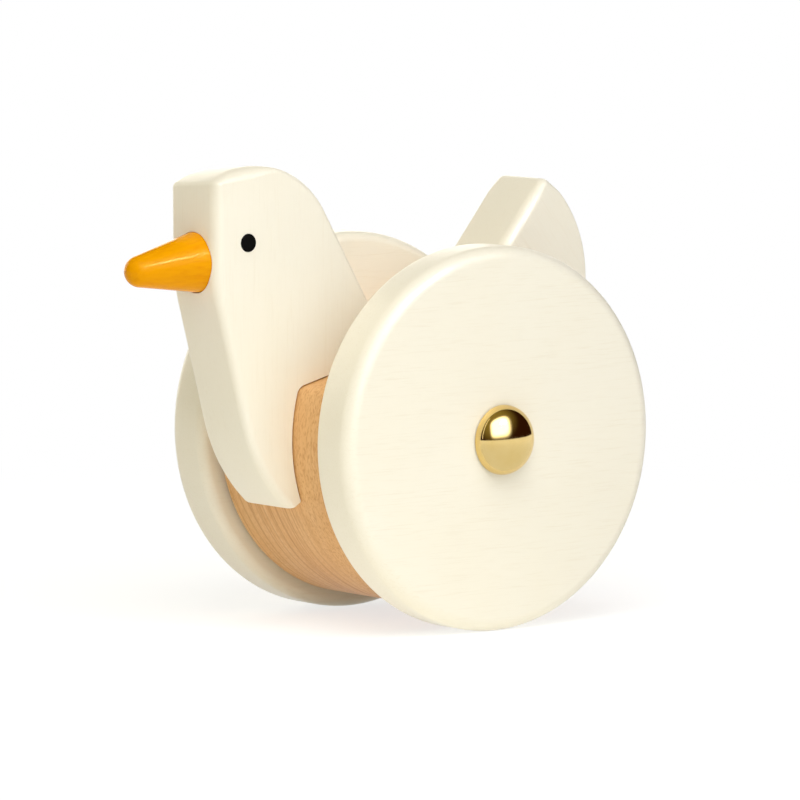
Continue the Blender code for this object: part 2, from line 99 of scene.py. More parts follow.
# Rounds of the head's edges, across the plank and down its side. Where they differ, 1 is left and -1 right
NECK_EDGE = (2.2 * MM, 2.2 * MM)
NAPE_EDGE = (1.3 * MM, 1.3 * MM)
FACE_EDGE = {1: (3.3 * MM, 2.4 * MM), -1: (1.6 * MM, 1.6 * MM)}
CROWN_EDGE = {1: (5.2 * MM, 3.4 * MM), -1: (4.2 * MM, 3.2 * MM)}
LIP_EDGE = (0.6 * MM, 0.6 * MM)
CROWN_EDGE_START = 0.5 * MM  # behind the head's front
CROWN_EDGE_RUN = 11.0 * MM
CROWN_EDGE_END = 7.0 * MM
CROWN_EDGE_FADE = 12.0 * MM
CROWN_EDGE_RISE = CROWN_RADIUS / 2
FACE_EDGE_START = 30.0 * MM  # above the axle
FACE_EDGE_RUN = 14.0 * MM
LIP_EDGE_START = 1.8 * MM  # proud of the drum
LIP_EDGE_RUN = 2.6 * MM
BROW_EDGE_DOWN = 1.4 * MM
BROW_EDGE_RUN = 5.0 * MM

# Tail
TAIL_TOE = 20.3 * MM
TAIL_FRONT_SLOPE = math.radians(51.5)
TAIL_BACK_HEIGHT = 34.0 * MM
TAIL_BACK_RADIUS = 30.6 * MM
TAIL_TIP_ROUND = 2.0 * MM

# Rounds of the tail's edges, as for the head's
TAIL_EDGE = {1: (0.8 * MM, 0.8 * MM), -1: (0.6 * MM, 0.6 * MM)}
TAIL_FRONT_EDGE = {1: (2.7 * MM, 2.7 * MM), -1: (0.8 * MM, 0.8 * MM)}
TAIL_TIP_EDGE = (2.4 * MM, 1.7 * MM)
TAIL_END_EDGE = (0.3 * MM, 0.3 * MM)  # where the front runs out on the drum
TAIL_EDGE_START = 0.8 * MM  # in from the back's curve
TAIL_EDGE_RUN = 4.0 * MM
TAIL_TIP_EDGE_RUN = 4.0 * MM
TAIL_END_EDGE_RUN = 7.0 * MM

# Beak
BEAK_HEIGHT = 42.1 * MM
BEAK_SINK = 0.8 * MM
BEAK_SHOULDER = AXLE + Vector((HEAD_FRONT - BEAK_SINK, 0, BEAK_HEIGHT))
BEAK_DROOP = math.radians(5)
BEAK_LENGTH = 19.5 * MM
BEAK_BASE_RADIUS = 7.1 * MM
BEAK_TIP_RADIUS = 3.7 * MM
BEAK_BASE_ROUND = 0.2 * MM
TENON_RADIUS = 3.5 * MM
TENON_LENGTH = 10.0 * MM

# Eyes
EYE_HEIGHT = 46.7 * MM
EYE_SETBACK = 9.2 * MM
EYE_RADIUS = 2.1 * MM
EYE_DEPTH = 3.5 * MM
EYE_PROUD = 0.2 * MM
EYE_EDGE_ROUND = 0.15 * MM

# Dowels, weight and caps
DOWEL_RADIUS = 3.0 * MM
DOWEL_LENGTH = 26.0 * MM
WEIGHT_RADIUS = 10.0 * MM
CAP_RADIUS = 8.2 * MM
CAP_WALL = 0.6 * MM

# Fineness
ARC_ERROR = 0.003 * MM
FEWEST_ARC_STEPS = 4
WHEEL_STEPS = 256
TURN_STEPS = 96
HOLE_STEPS = 48
EDGE_STEPS = 10
CAP_STEPS = 40
LONGEST_RUN = 1.0 * MM
WELD = 0.0005 * MM
STRAIGHT = 1e-7
SMOOTH_ANGLE = math.radians(30)

# Rotations that turn a piece's own +Z to the left or right of the toy, or along the beak
TO_LEFT = (-math.pi / 2, 0, 0)
TO_RIGHT = (math.pi / 2, 0, 0)
ALONG_BEAK = (0, math.pi / 2 + BEAK_DROOP, 0)
SIDES = (("left", 1, TO_LEFT), ("right", -1, TO_RIGHT))


def smoothstep(value):
    """0 below 0, 1 above 1 and a smooth rise between."""
    value = min(max(value, 0), 1)
    return value * value * (3 - 2 * value)


def between(first, second, share):
    """The pair a share of the way from one pair to another."""
    return tuple(a + (b - a) * share for a, b in zip(first, second))


def arc(centre, radius, start, end):
    """Points on a circle from one angle to another, both included."""
    finest = 2 * math.acos(max(0, 1 - ARC_ERROR / radius))
    steps = max(FEWEST_ARC_STEPS, math.ceil(abs(end - start) / finest))
    angles = [start + (end - start) * i / steps for i in range(steps + 1)]
    return [(centre[0] + radius * math.cos(a), centre[1] + radius * math.sin(a)) for a in angles]


def rounded(corners):
    """An open chain through (a, b, radius) corners, with each radius as an arc."""
    chain = [corners[0][:2]]
    for before, (a, b, radius), after in zip(corners, corners[1:], corners[2:]):
        arrive = math.atan2(b - before[1], a - before[0])
        leave = math.atan2(after[1] - b, after[0] - a)
        turn = (leave - arrive + math.pi) % (2 * math.pi) - math.pi
        reach = radius * math.tan(abs(turn) / 2)
        if reach < WELD:
            chain.append((a, b))
            continue
        side = math.copysign(math.pi / 2, turn)
        start = (a - reach * math.cos(arrive), b - reach * math.sin(arrive))
        centre = (start[0] + radius * math.cos(arrive + side), start[1] + radius * math.sin(arrive + side))
        chain += arc(centre, radius, arrive - side, arrive - side + turn)
    chain.append(corners[-1][:2])
    return [q for p, q in zip([(math.inf, 0)] + chain, chain) if math.dist(p, q) > WELD]


def divided(chain):
    """An open chain with extra points along its long straight runs."""
    points = chain[:1]
    for p, q in zip(chain, chain[1:]):
        parts = math.ceil(math.dist(p, q) / LONGEST_RUN)
        for i in range(1, parts + 1):
            points.append((p[0] + (q[0] - p[0]) * i / parts, p[1] + (q[1] - p[1]) * i / parts))
    return points


def round_axle(radius, angle):
    """(forwards, up) of a point given by its distance from the axle and its angle."""
    return (radius * math.cos(angle), radius * math.sin(angle))


def seat_point(along, above):
    """(forwards, up) of a point given along the seat and square to it, both from the axle."""
    cos, sin = math.cos(SEAT_TILT), math.sin(SEAT_TILT)
    return (along * cos + above * sin, above * cos - along * sin)


def on_seat(point):
    """How far a (forwards, up) point lies from the axle along the seat, and square to it."""
    cos, sin = math.cos(SEAT_TILT), math.sin(SEAT_TILT)
    return (point[0] * cos - point[1] * sin, point[0] * sin + point[1] * cos)


def drum_chains(grow, front_end, back_end):
    """The drum's outline grown by a gap: front from the seat down to an angle, and back likewise."""
    shoulder = math.atan2(SEAT_ROUND_HEIGHT, SEAT_END)
    belly = DRUM_RADIUS + grow
    front = arc((SEAT_END, SEAT_ROUND_HEIGHT), SEAT_ROUND + grow, math.pi / 2, shoulder)
    front += arc((0, 0), belly, shoulder, front_end + SEAT_TILT)[1:]
    back = arc((-SEAT_END, SEAT_ROUND_HEIGHT), SEAT_ROUND + grow, math.pi / 2, math.pi - shoulder)
    back += arc((0, 0), belly, math.pi - shoulder, back_end + SEAT_TILT)[1:]
    return [seat_point(*p) for p in front], [seat_point(*p) for p in back]


def drum_outline():
    """The drum's whole outline, which has no notch."""
    front, back = drum_chains(0, -math.pi / 2, 3 * math.pi / 2)
    return front + back[-2::-1], []


def crown_arc():
    """The head's top, from the brow back to the nape."""
    middle = (HEAD_FRONT - CROWN_SETBACK, CROWN_HEIGHT)
    return arc(middle, CROWN_RADIUS, math.acos(CROWN_SETBACK / CROWN_RADIUS), NECK_BACK_SLOPE + math.pi / 2)


def neck_heel():
    """Where the neck's back meets the seat, along it."""
    along, above = on_seat(crown_arc()[-1])
    return along - (above - SEAT_HEIGHT - SEAT_GAP) / math.tan(NECK_BACK_SLOPE + SEAT_TILT)


def neck_outline():
    """The head and neck's free edge from the lip up and over to the heel, and its notch."""
    notch, _ = drum_chains(SEAT_GAP, LIP_ANGLE + LIP_SLANT, math.pi)
    lip = round_axle(DRUM_RADIUS + LIP_PROUD, LIP_ANGLE)
    breast = round_axle(DRUM_RADIUS + BREAST_PROUD, BREAST_ANGLE)
    crown = crown_arc()
    heel = seat_point(neck_heel(), SEAT_HEIGHT + SEAT_GAP)
    corners = [(*notch[-1], 0), (*lip, LIP_ROUND), (*breast, BREAST_ROUND)]
    corners += [(HEAD_FRONT, THROAT_HEIGHT, THROAT_ROUND), (*crown[0], BROW_ROUND)]
    # The crown's first points lie inside the brow's round
    corners += [(*p, 0) for p in crown if HEAD_FRONT - p[0] > BROW_ROUND]
    corners.append((*heel, 0))
    return rounded(corners), notch[:-1]


def tail_middle():
    """The centre of the tail's curved back."""
    return (TAIL_BACK_RADIUS - TAIL_BACK, TAIL_BACK_HEIGHT)


def tail_toe():
    """Where the tail's front meets the seat."""
    return seat_point(TAIL_TOE - SEAT_END, SEAT_HEIGHT + SEAT_GAP)


def tail_outline():
    """The tail's free edge from the lip up and over to the toe, and its notch."""
    middle = tail_middle()
    belly = DRUM_RADIUS + SEAT_GAP
    apart = math.hypot(*middle)
    along = (belly ** 2 - TAIL_BACK_RADIUS ** 2 + apart ** 2) / (2 * apart)
    lip_angle = math.atan2(middle[1], middle[0]) + math.acos(along / belly)
    lip = round_axle(belly, lip_angle)
    toe = tail_toe()
    lean = math.pi - TAIL_FRONT_SLOPE
    da, db = toe[0] - middle[0], toe[1] - middle[1]
    half = da * math.cos(lean) + db * math.sin(lean)
    run = -half + math.sqrt(half ** 2 - da ** 2 - db ** 2 + TAIL_BACK_RADIUS ** 2)
    tip = (toe[0] + run * math.cos(lean), toe[1] + run * math.sin(lean))
    from_middle = [math.atan2(p[1] - middle[1], p[0] - middle[0]) for p in (lip, tip)]
    back = arc(middle, TAIL_BACK_RADIUS, from_middle[0] % (2 * math.pi), from_middle[1])
    _, notch = drum_chains(SEAT_GAP, 0, lip_angle % (2 * math.pi))
    corners = [(*p, 0) for p in back if math.dist(p, tip) > TAIL_TIP_ROUND]
    corners += [(*tip, TAIL_TIP_ROUND), (*toe, 0)]
    return rounded(corners), notch[:-1]


def edge_inset(points, free):
    """For each point, the step that takes its free edges in by 1 and leaves the others in place."""
    area = sum(p[0] * q[1] - q[0] * p[1] for p, q in zip(points, points[1:] + points[:1]))
    inward = math.copysign(1, area)
    normals = []
    for p, q in zip(points, points[1:] + points[:1]):
        length = math.dist(p, q)
        normals.append((-inward * (q[1] - p[1]) / length, inward * (q[0] - p[0]) / length))
    steps = []
    for i in range(len(points)):
        (a, b), (c, d) = normals[i - 1], normals[i]
        before, after = float(free[i - 1]), float(free[i])
        cross = a * d - b * c
        if abs(cross) < STRAIGHT:
            steps.append((a * before, b * before))
        else:
            steps.append(((before * d - after * b) / cross, (after * a - before * c) / cross))
    return steps


def shade(item):
    """Smooth the round faces and keep the real edges."""
    item.data.shade_smooth()
    item.data.set_sharp_from_angle(angle=SMOOTH_ANGLE)


def add_piece(name, bm, location=AXLE, rotation=(0, 0, 0)):
    """Make an object of a finished mesh."""
    bmesh.ops.recalc_face_normals(bm, faces=bm.faces)
    mesh = bpy.data.meshes.new(name)
    bm.to_mesh(mesh)
    bm.free()
    item = bpy.data.objects.new(name, mesh)
    bpy.context.collection.objects.link(item)
    item.location = location
    item.rotation_euler = rotation
    shade(item)
    return item


def slab(name, outline, thickness, edge):
    """An upright board across the toy. edge gives (across, down) of each side's round at a point."""
    free_chain, notch = divided(outline[0]), outline[1]
    points = free_chain + notch
    free = [i < len(free_chain) - 1 or not notch for i in range(len(points))]
    steps = edge_inset(points, free)
    half = thickness / 2
    bm = bmesh.new()
    rings = []
    turns = [math.pi / 2 * i / EDGE_STEPS for i in range(EDGE_STEPS + 1)]
    for side in (-1, 1):
        for turn in turns if side > 0 else reversed(turns):
            ring = []
            for (a, b), step in zip(points, steps):
                across, down = edge(side, (a, b))
                y = side * (half - across * (1 - math.sin(turn)))
                inset = down * (1 - math.cos(turn))
                ring.append(bm.verts.new((a + inset * step[0], y, b + inset * step[1])))
            rings.append(ring)
    for lower, upper in zip(rings, rings[1:]):
        for i in range(len(points)):
            bm.faces.new((lower[i - 1], lower[i], upper[i], upper[i - 1]))
    bm.faces.new(rings[0])
    bm.faces.new(rings[-1])
    return add_piece(name, bm)


def turned(name, profile, location, rotation, steps=TURN_STEPS):
    """Spin (radius, height) points round the piece's own Z."""
    bm = bmesh.new()
    ring = [bm.verts.new((radius, 0, height)) for radius, height in profile]
    edges = [bm.edges.new(pair) for pair in zip(ring, ring[1:])]
    if profile[0][0] > 0:
        edges.append(bm.edges.new((ring[-1], ring[0])))
    bmesh.ops.spin(bm, geom=ring + edges, cent=(0, 0, 0), axis=(0, 0, 1), angle=2 * math.pi,
                   steps=steps, use_merge=True)
    bmesh.ops.remove_doubles(bm, verts=bm.verts, dist=WELD)
    return add_piece(name, bm, location, rotation)


def bar(radius, length):
    """The profile of a plain round bar centred on its place."""
    end = length / 2
    return [(0, -end), (radius, -end), (radius, end), (0, end)]


def hole(profile, location, rotation):
    """A turned cutter."""
    return turned("cutter", profile, location, rotation, HOLE_STEPS)


def carve(item, cutters):
    """Take cutters out of a piece for good, and delete them."""
    for tool in cutters:
        cut = item.modifiers.new("cut", "BOOLEAN")
        cut.operation = "DIFFERENCE"
        cut.solver = "EXACT"
        cut.object = tool
    finished = bpy.data.meshes.new_from_object(item.evaluated_get(bpy.context.evaluated_depsgraph_get()))
    item.modifiers.clear()
    finished.name = item.name
    item.data = finished
    shade(item)
    for tool in cutters:
        bpy.data.objects.remove(tool)


def middle_of(node):
    """The middle of a node's box."""
    return sum(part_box(node), Vector()) / 2


def dowel_hole(node, lean):
    """The cutter of a dowel's hole, where the dowel is."""
    profile = bar(DOWEL_RADIUS + GLUE_CLEARANCE, DOWEL_LENGTH + 2 * SEAT_GAP)
    return hole(profile, middle_of(node), (0, lean, 0))


def neck_dowel_holes():
    """The cutters of both neck dowels' holes."""
    return [dowel_hole(node, SEAT_TILT) for node in ("neck_dowel_front", "neck_dowel_rear")]


def tail_dowel_hole():
    """The cutter of the tail dowel's hole."""
    return dowel_hole("tail_dowel", TAIL_FRONT_SLOPE - math.pi / 2)


def make_drum():
    """The drum, with its holes for the axle, the dowels and the weight."""
    drum = slab("drum", drum_outline(), DRUM_WIDTH, lambda side, point: (DRUM_EDGE_ROUND, DRUM_EDGE_ROUND))
    weight = middle_of("weight")
    inner_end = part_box("weight")[1].y - AXLE.y + SEAT_GAP
    radius = WEIGHT_RADIUS + GLUE_CLEARANCE
    bore = [(0, -DRUM_WIDTH), (radius, -DRUM_WIDTH), (radius, inner_end), (0, inner_end)]
    cutters = [hole(bar(AXLE_RADIUS + GLUE_CLEARANCE, 2 * DRUM_WIDTH), AXLE, TO_LEFT)]
    cutters.append(hole(bore, (weight.x, AXLE.y, weight.z), TO_LEFT))
    carve(drum, cutters + neck_dowel_holes() + [tail_dowel_hole()])
    return drum


def head_edge(side, point):
    """How far the head's edges are rounded: least under the lip and most on the crown."""
    forwards, up = point
    back = HEAD_FRONT - forwards
    on_face = 1 - smoothstep((back - CROWN_EDGE_END) / CROWN_EDGE_FADE)
    on_crown = smoothstep((back - CROWN_EDGE_START) / CROWN_EDGE_RUN) * on_face
    high = smoothstep((up - CROWN_HEIGHT) / CROWN_EDGE_RISE)
    proud = math.hypot(forwards, up) - DRUM_RADIUS if up < 0 else math.inf
    edge = between(LIP_EDGE, NECK_EDGE, smoothstep((proud - LIP_EDGE_START) / LIP_EDGE_RUN))
    edge = between(edge, FACE_EDGE[side], smoothstep((up - FACE_EDGE_START) / FACE_EDGE_RUN))
    if up > 0:
        edge = between(NAPE_EDGE, edge, on_face)
    edge = between(edge, CROWN_EDGE[side], on_crown * high)
    from_brow = smoothstep(math.dist(point, (HEAD_FRONT, BROW_HEIGHT)) / BROW_EDGE_RUN)
    return between((edge[0], min(edge[1], BROW_EDGE_DOWN)), edge, from_brow)


def eye_place(sign):
    """The middle of an eye on the head's side."""
    return AXLE + Vector((HEAD_FRONT - EYE_SETBACK, sign * PLANK_THICKNESS / 2, EYE_HEIGHT))


def make_head():
    """The head and neck, with the crown sanded a little lower on its right, and its holes."""
    head = slab("head", neck_outline(), PLANK_THICKNESS, head_edge)
    for vertex in head.data.vertices:
        height = smoothstep((vertex.co.z - CROWN_HEIGHT) / CROWN_RADIUS)
        leftwards = vertex.co.y / PLANK_THICKNESS + 0.5
        vertex.co.z -= CROWN_SLANT * height * (1 - leftwards)
    bore = TENON_RADIUS + GLUE_CLEARANCE
    bore_end = -TENON_LENGTH - SEAT_GAP
    seat = BEAK_BASE_RADIUS + SNUG_CLEARANCE
    beak_hole = [(0, bore_end), (bore, bore_end), (bore, -SEAT_GAP), (seat, -SEAT_GAP)]
    beak_hole += [(seat, BEAK_LENGTH), (0, BEAK_LENGTH)]
    cutters = neck_dowel_holes()
    cutters.append(hole(beak_hole, BEAK_SHOULDER, ALONG_BEAK))
    eye_hole = bar(EYE_RADIUS + SNUG_CLEARANCE, 2 * (EYE_DEPTH + SEAT_GAP))
    for _, sign, facing in SIDES:
        cutters.append(hole(eye_hole, eye_place(sign), facing))
    carve(head, cutters)
    return head


def tail_edge(side, point):
    """How far the tail's edges are rounded: most along its front and at its tip, least at its toe."""
    inwards = TAIL_BACK_RADIUS - math.dist(point, tail_middle())
    in_front = smoothstep((inwards - TAIL_EDGE_START) / TAIL_EDGE_RUN)
    at_tip = smoothstep((point[1] - TAIL_TOP) / TAIL_TIP_EDGE_RUN + 1)
    off_toe = smoothstep(math.dist(point, tail_toe()) / TAIL_END_EDGE_RUN)
    edge = between(TAIL_EDGE[side], TAIL_FRONT_EDGE[side], in_front)
    edge = between(edge, TAIL_TIP_EDGE, at_tip)
    return between(TAIL_END_EDGE, edge, off_toe)


def make_tail():
    """The tail and its hole."""
    tail = slab("tail_plank", tail_outline(), PLANK_THICKNESS, tail_edge)
    carve(tail, [tail_dowel_hole()])
    return tail


def make_beak():
    """The beak: a cone with a ball tip, on its tenon."""
    ball = BEAK_LENGTH - BEAK_TIP_RADIUS
    base_angle = math.atan2(-ball, BEAK_BASE_RADIUS)
    meet = base_angle + math.acos(BEAK_TIP_RADIUS / math.hypot(BEAK_BASE_RADIUS, ball))
    tip = arc((0, ball), BEAK_TIP_RADIUS, meet, math.pi / 2)
    profile = [(0, -TENON_LENGTH), (TENON_RADIUS, -TENON_LENGTH)]
    profile += rounded([(TENON_RADIUS, 0, 0), (BEAK_BASE_RADIUS, 0, BEAK_BASE_ROUND), (*tip[0], 0)])
    profile += tip[1:]
    return turned("turned_beak", profile, BEAK_SHOULDER, ALONG_BEAK)


def make_eye(side, sign, facing):
    """A black plug, a little proud of the head's side."""
    rim = (EYE_RADIUS, EYE_PROUD, EYE_EDGE_ROUND)
    profile = [(0, -EYE_DEPTH)] + rounded([(EYE_RADIUS, -EYE_DEPTH, 0), rim, (0, EYE_PROUD, 0)])
    return turned(side + "_eye_plug", profile, eye_place(sign), facing)


def make_wheel(side, facing):
    """A disc wheel with rounded rims and a chamfered bore."""
    half = WHEEL_THICKNESS / 2
    bore = AXLE_RADIUS + RUNNING_CLEARANCE
    profile = [(bore, -half + BORE_CHAMFER)]
    profile += rounded([(bore + BORE_CHAMFER, -half, 0), (WHEEL_RADIUS, -half, WHEEL_INNER_ROUND),
                        (WHEEL_RADIUS, half, WHEEL_OUTER_ROUND), (bore + BORE_CHAMFER, half, 0)])
    profile.append((bore, half - BORE_CHAMFER))
    return turned(side + "_disc", profile, middle_of(side + "_wheel"), facing, WHEEL_STEPS)


def make_cap(side, facing):
    """A cap with steep sides and a flat-domed top, hollow over the axle's end."""
    steps = [math.pi / 2 * i / CAP_STEPS for i in range(CAP_STEPS + 1)]
    radius, height = CAP_RADIUS - CAP_WALL, CAP_HEIGHT - CAP_WALL
    outer = [(CAP_RADIUS * math.sin(a), CAP_HEIGHT * math.cos(a)) for a in steps]
    inner = [(radius * math.sin(a), height * math.cos(a)) for a in reversed(steps)]
    base = CAP_HEIGHT / 2
    place = middle_of(side + "_axle_cap")
    return turned(side + "_cap", [(r, h - base) for r, h in outer + inner], place, facing)


# Sockets of a node that mixes colours
MIX_FACTOR = 0
MIX_FIRST = 6
MIX_SECOND = 7
MIX_RESULT = 2


def add_node(tree, kind, links=None, **settings):
    """A shader node with its inputs linked or set."""
    node = tree.nodes.new(kind)
    for key, value in settings.items():
        setattr(node, key, value)
    for key, value in (links or {}).items():
        if isinstance(value, bpy.types.NodeSocket):
            tree.links.new(value, node.inputs[key])
        else:
            node.inputs[key].default_value = value
    return node


def new_material(name):
    """A plain surface with its node tree."""
    material = bpy.data.materials.new(name)
    material.use_nodes = True
    return material, material.node_tree, material.node_tree.nodes["Principled BSDF"]


def object_place(tree):
    """Places on the piece, along its own axes."""
    return add_node(tree, "ShaderNodeTexCoord").outputs["Object"]


def place_of(tree, rotation=(0, 0, 0), scale=(1, 1, 1)):
    """Places on the piece, turned and then stretched."""
    place = object_place(tree)
    turn = add_node(tree, "ShaderNodeMapping", {"Vector": place, "Rotation": rotation}).outputs["Vector"]
    return add_node(tree, "ShaderNodeMapping", {"Vector": turn, "Scale": scale}).outputs["Vector"]


def noise(tree, place, detail=2.0, roughness=0.5):
    """Soft noise with a cell for each unit of place."""
    return add_node(tree, "ShaderNodeTexNoise", {"Vector": place, "Scale": 1.0, "Detail": detail,
                    "Roughness": roughness}).outputs["Fac"]


def remap(tree, value, span, target, smooth=False):
    """A value's span turned into another, held at its ends."""
    kind = "SMOOTHSTEP" if smooth else "LINEAR"
    return add_node(tree, "ShaderNodeMapRange", {"Value": value, "From Min": span[0], "From Max": span[1],
                    "To Min": target[0], "To Max": target[1]}, interpolation_type=kind).outputs["Result"]


def blend_colours(tree, factor, first, second):
    """One colour where factor is 0, the other where it is 1."""
    mix = add_node(tree, "ShaderNodeMix", {MIX_FACTOR: factor}, data_type="RGBA")
    for index, value in ((MIX_FIRST, first), (MIX_SECOND, second)):
        if isinstance(value, bpy.types.NodeSocket):
            tree.links.new(value, mix.inputs[index])
        else:
            mix.inputs[index].default_value = (*value, 1)
    return mix.outputs[MIX_RESULT]


def calculate(tree, operation, *values):
    """One operation on values."""
    return add_node(tree, "ShaderNodeMath", dict(enumerate(values)), operation=operation).outputs[0]


def multiply(tree, first, second):
    """The product of two values."""
    return calculate(tree, "MULTIPLY", first, second)


def measure(tree, operation, *places):
    """One number from places."""
    node = add_node(tree, "ShaderNodeVectorMath", dict(enumerate(places)), operation=operation)
    return node.outputs["Value"]


def bump(tree, surface, height, depth, strength):
    """Relief of a given depth."""
    relief = add_node(tree, "ShaderNodeBump", {"Height": height, "Distance": depth, "Strength": strength})
    tree.links.new(relief.outputs["Normal"], surface.inputs["Normal"])


# Where noise has most of its values
NOISE_SPAN = (0.3, 0.7)

# Painted wood. Scales are cells a metre, with the grain along X
CREAM = (0.930, 0.885, 0.765)
CREAM_STREAK = (0.845, 0.775, 0.630)
CREAM_WARM = (0.925, 0.872, 0.738)
CREAM_ROUGHNESS = (0.29, 0.34)
CREAM_SPECULAR = 0.5
STREAK_SCALE = (110.0, 2600.0, 2600.0)
STREAK_SPAN = (0.48, 0.70)
STREAK_DEPTH = 0.05 * MM
STREAK_RELIEF = 0.25
STRETCH_SCALE = (25.0, 420.0, 420.0)
STRETCH_SPAN = (0.3, 0.65)
STRETCH_SHARE = (0.25, 1.0)  # how much of the streaks shows in faint stretches and in strong ones
CLOUD_SCALE = (38.0, 38.0, 38.0)
CLOUD_SPAN = (0.35, 0.7)
CLOUD_SHARE = 0.6
PLANK_GRAIN = 0.28  # how much of the streaks shows through the paint
WHEEL_GRAIN = 0.46
GRAIN_UP = (0, math.pi / 2, 0)
GRAIN_ALONG_TAIL = (0, TAIL_FRONT_SLOPE, 0)
GRAIN_ACROSS_WHEEL = (0, 0, 0)


def cream_paint(name, grain, showing):
    """Satin cream paint over wood whose fine grain just shows. grain turns the grain onto X."""
    material, tree, surface = new_material(name)
    streaks = noise(tree, place_of(tree, grain, STREAK_SCALE), detail=3.0, roughness=0.62)
    stretches = noise(tree, place_of(tree, grain, STRETCH_SCALE))
    cloud = noise(tree, place_of(tree, scale=CLOUD_SCALE))
    warm = remap(tree, cloud, CLOUD_SPAN, (0.0, CLOUD_SHARE), True)
    tint = blend_colours(tree, warm, CREAM, CREAM_WARM)
    lines = multiply(tree, remap(tree, streaks, STREAK_SPAN, (0.0, showing), True),
                     remap(tree, stretches, STRETCH_SPAN, STRETCH_SHARE))
    tree.links.new(blend_colours(tree, lines, tint, CREAM_STREAK), surface.inputs["Base Color"])
    tree.links.new(remap(tree, streaks, NOISE_SPAN, CREAM_ROUGHNESS), surface.inputs["Roughness"])
    bump(tree, surface, streaks, STREAK_DEPTH, STREAK_RELIEF)
    surface.inputs["Specular IOR Level"].default_value = CREAM_SPECULAR
    return material


# Beech: rings lie square to Y and the fibres run up
BEECH = (0.790, 0.450, 0.180)
BEECH_LATE = (0.560, 0.255, 0.085)
BEECH_FLECK = (0.600, 0.280, 0.092)
BEECH_PALE = (0.860, 0.560, 0.270)
BEECH_ROUGHNESS = (0.42, 0.58)
BEECH_SPECULAR = 0.4
RINGS = 118.0
RING_WAVES = {"Scale": RINGS, "Distortion": 2.2, "Detail": 2.0, "Detail Scale": 0.5, "Detail Roughness": 0.5}
RING_SPAN = (0.66, 1.0)
RING_SHARE = 0.60
BAND_SCALE = (14.0, 520.0, 11.0)
PALE_BAND_SPAN = (0.52, 0.66)
DARK_BAND_SPAN = (0.48, 0.36)
BAND_SHARE = 0.65
FIBRE_SCALE = (1500.0, 2200.0, 140.0)
FIBRE_SPAN = (0.45, 0.75)
FIBRE_SHARE = 0.5
FIBRE_IN_PATCHES = (0.6, 1.0)
FIBRE_DEPTH = 0.06 * MM
FIBRE_RELIEF = 0.3
FLECK_SCALE = (1500.0, 2400.0, 900.0)
FLECK_SPAN = (0.50, 0.64)
FLECK_SHARE = 0.70
PATCH_SCALE = (45.0, 90.0, 30.0)
PATCH_SHARE = 0.5
CHANGE_SPAN = (0.002, 0.013)  # left of the middle, where flecks take over from lines
FLECKED = (0.25, 1.0)
LINED = (1.0, 0.12)


def beech(name):
    """Oiled beech: thin late-wood lines, fine fibre and short flecks."""
    material, tree, surface = new_material(name)
    place = place_of(tree)
    rings = add_node(tree, "ShaderNodeTexWave", {"Vector": place, **RING_WAVES}, bands_direction="Y",
                     wave_profile="SAW").outputs["Fac"]
    bands = noise(tree, place_of(tree, scale=BAND_SCALE), detail=3.0, roughness=0.6)
    fibre = noise(tree, place_of(tree, scale=FIBRE_SCALE), detail=3.0, roughness=0.6)
    flecks = noise(tree, place_of(tree, scale=FLECK_SCALE))
    patches = noise(tree, place_of(tree, scale=PATCH_SCALE))
    leftwards = add_node(tree, "ShaderNodeSeparateXYZ", {0: place}).outputs["Y"]
    flecked = remap(tree, leftwards, CHANGE_SPAN, FLECKED, True)
    lined = remap(tree, leftwards, CHANGE_SPAN, LINED, True)
    paler = multiply(tree, remap(tree, bands, PALE_BAND_SPAN, (0.0, BAND_SHARE), True), lined)
    darker = multiply(tree, remap(tree, bands, DARK_BAND_SPAN, (0.0, BAND_SHARE), True), lined)
    thin = multiply(tree, remap(tree, rings, RING_SPAN, (0.0, RING_SHARE), True), lined)
    combed = multiply(tree, remap(tree, fibre, FIBRE_SPAN, (0.0, FIBRE_SHARE)),
                      remap(tree, patches, NOISE_SPAN, FIBRE_IN_PATCHES))
    marks = multiply(tree, remap(tree, flecks, FLECK_SPAN, (0.0, FLECK_SHARE), True), flecked)
    pale_patches = remap(tree, patches, NOISE_SPAN, (0.0, PATCH_SHARE), True)
    colour = blend_colours(tree, pale_patches, BEECH, BEECH_PALE)
    for share, tone in ((paler, BEECH_PALE), (darker, BEECH_LATE), (thin, BEECH_LATE), (combed, BEECH_LATE),
                        (marks, BEECH_FLECK)):
        colour = blend_colours(tree, share, colour, tone)
    tree.links.new(colour, surface.inputs["Base Color"])
    tree.links.new(remap(tree, fibre, NOISE_SPAN, BEECH_ROUGHNESS), surface.inputs["Roughness"])
    bump(tree, surface, fibre, FIBRE_DEPTH, FIBRE_RELIEF)
    surface.inputs["Specular IOR Level"].default_value = BEECH_SPECULAR
    return material


# Orange paint, with strokes along the beak
ORANGE = (0.850, 0.350, 0.001)
ORANGE_DEEP = (0.700, 0.205, 0.001)
ORANGE_SHEEN = (1.0, 0.80, 0.42)
ORANGE_ROUGHNESS = (0.14, 0.22)
ORANGE_SPECULAR = 0.45
ORANGE_IOR = 1.22
STROKE_SCALE = (1300.0, 1300.0, 90.0)
STROKE_SPAN = (0.4, 0.75)
STROKE_SHARE = 0.5
STROKE_IN_CLOUDS = (0.3, 1.0)
STROKE_DEPTH = 0.04 * MM
STROKE_RELIEF = 0.25
ORANGE_CLOUD_SCALE = (120.0, 120.0, 120.0)


